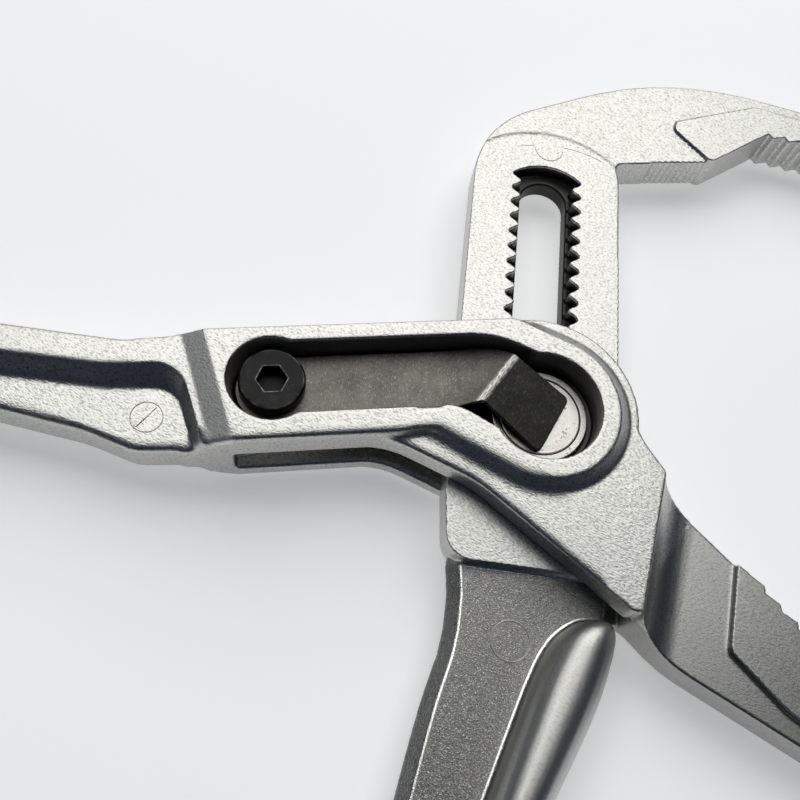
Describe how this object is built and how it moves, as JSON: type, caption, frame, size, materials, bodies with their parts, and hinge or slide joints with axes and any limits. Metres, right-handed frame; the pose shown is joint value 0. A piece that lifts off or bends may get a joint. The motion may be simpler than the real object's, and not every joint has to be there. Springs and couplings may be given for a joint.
{
  "type": "water pump pliers",
  "caption": "Water pump pliers: a push-button toothed pivot locks the sliding upper jaw half in a boxed lower half, held by a leaf spring and screw, with sleeve grips.",
  "frame": {"origin": "on the pivot axis, at the back face of the joint body and button", "axes": "+X along the joint body towards the jaws, +Y towards the upper jaw, +Z along the pivot axis to the spring side"},
  "size_m": [0.3189, 0.2686, 0.015],
  "materials": {
    "plated_steel": "satin plated forged steel with a fine blasted grain",
    "bare_steel": "turned bare steel",
    "spring_steel": "dark tempered spring steel with fine scratches",
    "black_oxide": "black oxide",
    "grip_sleeve": "matte dipped sleeve"
  },
  "bodies": {
    "outer_half": {"outer_half": "plated_steel", "spring_screw": "black_oxide", "outer_grip": "grip_sleeve"},
    "pivot_bush": {"pivot_bush": "bare_steel"},
    "inner_half": {"inner_half": "plated_steel", "inner_grip": "grip_sleeve"},
    "leaf_spring": {"leaf_spring": "spring_steel"},
    "pivot_bolt": {"pivot_bolt": "bare_steel"}
  },
  "joints": [
    {"name": "jaw_pivot", "type": "hinge", "parent": "outer_half", "child": "pivot_bush", "pos_m": [0, 0, 0], "axis": [0, 0, 1], "range_deg": [-55, 2]},
    {"name": "jaw_adjust", "type": "slide", "parent": "pivot_bush", "child": "inner_half", "axis": [-0.2181, -0.9759, 0], "range_m": [0, 0.0378]},
    {"name": "release_press", "type": "slide", "parent": "outer_half", "child": "leaf_spring", "axis": [0, 0, 1], "range_m": [0, 0.0025], "stiffness_N_per_m": 5000, "deforming": ["leaf_spring"]},
    {"name": "bolt_turn", "type": "hinge", "parent": "leaf_spring", "child": "pivot_bolt", "pos_m": [0, 0, 0], "axis": [0, 0, 1], "range_deg": [-55, 2]}
  ],
  "couplings": [
    {"joint": "bolt_turn", "follows": "jaw_pivot", "ratio": 1}
  ]
}
